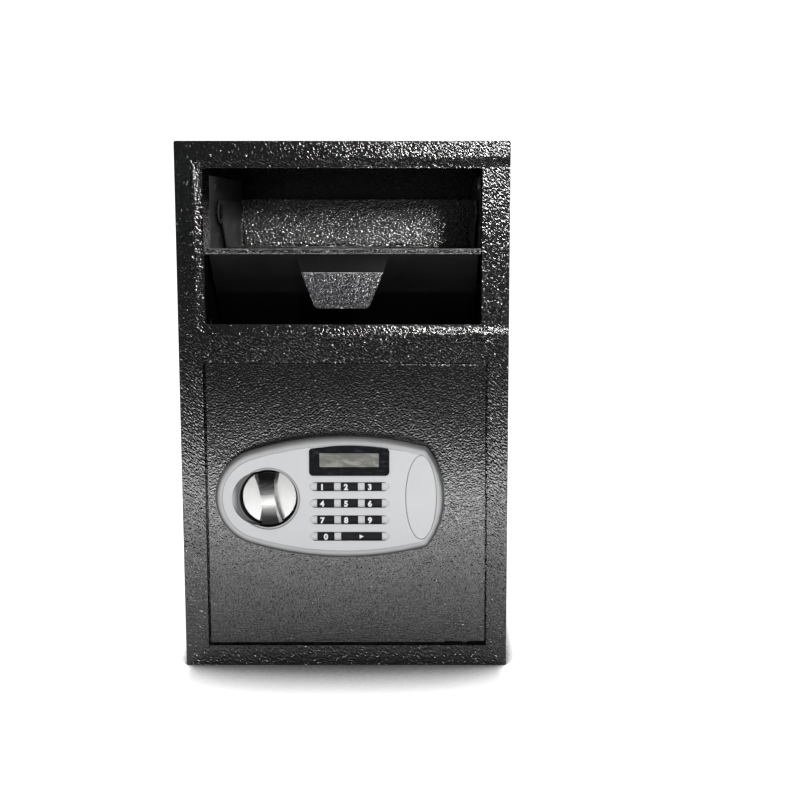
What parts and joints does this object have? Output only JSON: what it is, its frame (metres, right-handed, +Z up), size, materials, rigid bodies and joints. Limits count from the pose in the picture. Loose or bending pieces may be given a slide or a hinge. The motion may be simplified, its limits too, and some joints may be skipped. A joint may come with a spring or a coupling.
{
  "type": "deposit safe",
  "caption": "Upright steel deposit safe with a tilting drop hopper over a front door that has an electronic keypad lock and a turning knob.",
  "frame": {"origin": "centre of the underside of the cabinet", "axes": "+Z up, the front with the door faces -Y, +X to the right seen from the front"},
  "size_m": [0.35, 0.3715, 0.565],
  "materials": {
    "powder_black": "wrinkled semi-gloss powder coat",
    "hopper_paint": "semi-gloss powder coat",
    "zinc_plate": "zinc plated",
    "bright_steel": "ground steel",
    "satin_knob": "satin plated",
    "silver_panel": "silver paint on moulded plastic",
    "black_plastic": "moulded",
    "bezel_gloss": "polished black",
    "key_plastic": "moulded",
    "display_glass": "clear lens over a grey-green display",
    "black_rubber": "moulded rubber",
    "board": "circuit board",
    "brass": "machined",
    "red_plastic": "moulded",
    "carpet": "needle felt",
    "cell_wrap": "printed wrap"
  },
  "bodies": {
    "cabinet": {"cabinet_shell": "powder_black", "back_panel": "powder_black", "front_frame": "powder_black", "door_rebate": "powder_black", "lower_pivot": "hopper_paint", "upper_pivot": "hopper_paint", "hopper_side_left": "hopper_paint", "hopper_side_right": "hopper_paint", "rear_baffle": "hopper_paint", "swing_guard": "hopper_paint", "hopper_pin_left": "hopper_paint", "hopper_pin_right": "hopper_paint", "side_screw_left_1": "zinc_plate", "side_screw_left_2": "zinc_plate", "side_screw_right_1": "zinc_plate", "side_screw_right_2": "zinc_plate", "bolt_keeper": "zinc_plate", "floor_mat": "carpet", "floor_plug_left": "black_rubber", "floor_plug_right": "black_rubber"},
    "hopper": {"hopper_plate": "hopper_paint", "hopper_cheek_left": "hopper_paint", "hopper_cheek_right": "hopper_paint", "rim_bar": "powder_black", "pull_tab": "powder_black"},
    "door": {"door_panel": "powder_black", "inner_cover": "powder_black", "battery_box": "black_plastic", "cell_1": "cell_wrap", "cell_2": "cell_wrap", "cell_3": "cell_wrap", "cell_4": "cell_wrap", "lock_housing": "silver_panel", "lcd_bezel": "bezel_gloss", "lcd_display": "display_glass", "key_mat": "black_rubber", "circuit_board": "board", "lock_barrel": "brass", "solenoid": "zinc_plate"},
    "knob": {"knob": "satin_knob", "knob_shaft": "zinc_plate"},
    "bolt_work": {"bolt_carriage": "zinc_plate", "upper_bolt": "bright_steel", "lower_bolt": "bright_steel"},
    "plunger": {"solenoid_plunger": "bright_steel"},
    "oval_cover": {"key_cover": "silver_panel"},
    "core": {"lock_core": "brass"},
    "lid": {"battery_lid": "black_plastic"},
    "reset": {"reset_button": "red_plastic"},
    "key_1": {"key_1": "key_plastic"},
    "key_2": {"key_2": "key_plastic"},
    "key_3": {"key_3": "key_plastic"},
    "key_4": {"key_4": "key_plastic"},
    "key_5": {"key_5": "key_plastic"},
    "key_6": {"key_6": "key_plastic"},
    "key_7": {"key_7": "key_plastic"},
    "key_8": {"key_8": "key_plastic"},
    "key_9": {"key_9": "key_plastic"},
    "key_0": {"key_0": "key_plastic"},
    "key_start": {"key_start": "key_plastic"}
  },
  "joints": [
    {"name": "door_hinge", "type": "hinge", "parent": "cabinet", "child": "door", "pos_m": [0.1464, -0.17, 0.17], "axis": [0, 0, 1], "range_deg": [0, 100]},
    {"name": "hopper_tilt", "type": "hinge", "parent": "cabinet", "child": "hopper", "pos_m": [0, -0.078, 0.4925], "axis": [-1, 0, 0], "range_deg": [0, 46]},
    {"name": "knob_turn", "type": "hinge", "parent": "door", "child": "knob", "pos_m": [-0.0803, -0.175, 0.19], "axis": [0, -1, 0], "range_deg": [0, 90]},
    {"name": "bolt_throw", "type": "slide", "parent": "door", "child": "bolt_work", "axis": [-1, 0, 0], "range_m": [0, 0.018]},
    {"name": "plunger_slide", "type": "slide", "parent": "door", "child": "plunger", "axis": [0, 0, 1], "range_m": [0, 0.006]},
    {"name": "cover_pull", "type": "slide", "parent": "door", "child": "oval_cover", "axis": [0, -1, 0], "range_m": [0, 0.02]},
    {"name": "core_turn", "type": "hinge", "parent": "door", "child": "core", "pos_m": [0.0819, -0.175, 0.1913], "axis": [0, -1, 0], "range_deg": [0, 90]},
    {"name": "lid_slide", "type": "slide", "parent": "door", "child": "lid", "axis": [0, 0, 1], "range_m": [0, 0.04]},
    {"name": "reset_press", "type": "slide", "parent": "door", "child": "reset", "axis": [0, -1, 0], "range_m": [0, 0.002], "stiffness_N_per_m": 500},
    {"name": "key_1_press", "type": "slide", "parent": "door", "child": "key_1", "axis": [0, 1, 0], "range_m": [0, 0.0012], "stiffness_N_per_m": 500},
    {"name": "key_2_press", "type": "slide", "parent": "door", "child": "key_2", "axis": [0, 1, 0], "range_m": [0, 0.0012], "stiffness_N_per_m": 500},
    {"name": "key_3_press", "type": "slide", "parent": "door", "child": "key_3", "axis": [0, 1, 0], "range_m": [0, 0.0012], "stiffness_N_per_m": 500},
    {"name": "key_4_press", "type": "slide", "parent": "door", "child": "key_4", "axis": [0, 1, 0], "range_m": [0, 0.0012], "stiffness_N_per_m": 500},
    {"name": "key_5_press", "type": "slide", "parent": "door", "child": "key_5", "axis": [0, 1, 0], "range_m": [0, 0.0012], "stiffness_N_per_m": 500},
    {"name": "key_6_press", "type": "slide", "parent": "door", "child": "key_6", "axis": [0, 1, 0], "range_m": [0, 0.0012], "stiffness_N_per_m": 500},
    {"name": "key_7_press", "type": "slide", "parent": "door", "child": "key_7", "axis": [0, 1, 0], "range_m": [0, 0.0012], "stiffness_N_per_m": 500},
    {"name": "key_8_press", "type": "slide", "parent": "door", "child": "key_8", "axis": [0, 1, 0], "range_m": [0, 0.0012], "stiffness_N_per_m": 500},
    {"name": "key_9_press", "type": "slide", "parent": "door", "child": "key_9", "axis": [0, 1, 0], "range_m": [0, 0.0012], "stiffness_N_per_m": 500},
    {"name": "key_0_press", "type": "slide", "parent": "door", "child": "key_0", "axis": [0, 1, 0], "range_m": [0, 0.0012], "stiffness_N_per_m": 500},
    {"name": "key_start_press", "type": "slide", "parent": "door", "child": "key_start", "axis": [0, 1, 0], "range_m": [0, 0.0012], "stiffness_N_per_m": 500}
  ],
  "couplings": [
    {"joint": "bolt_throw", "follows": "knob_turn", "m_per_rad": 0.011459}
  ]
}
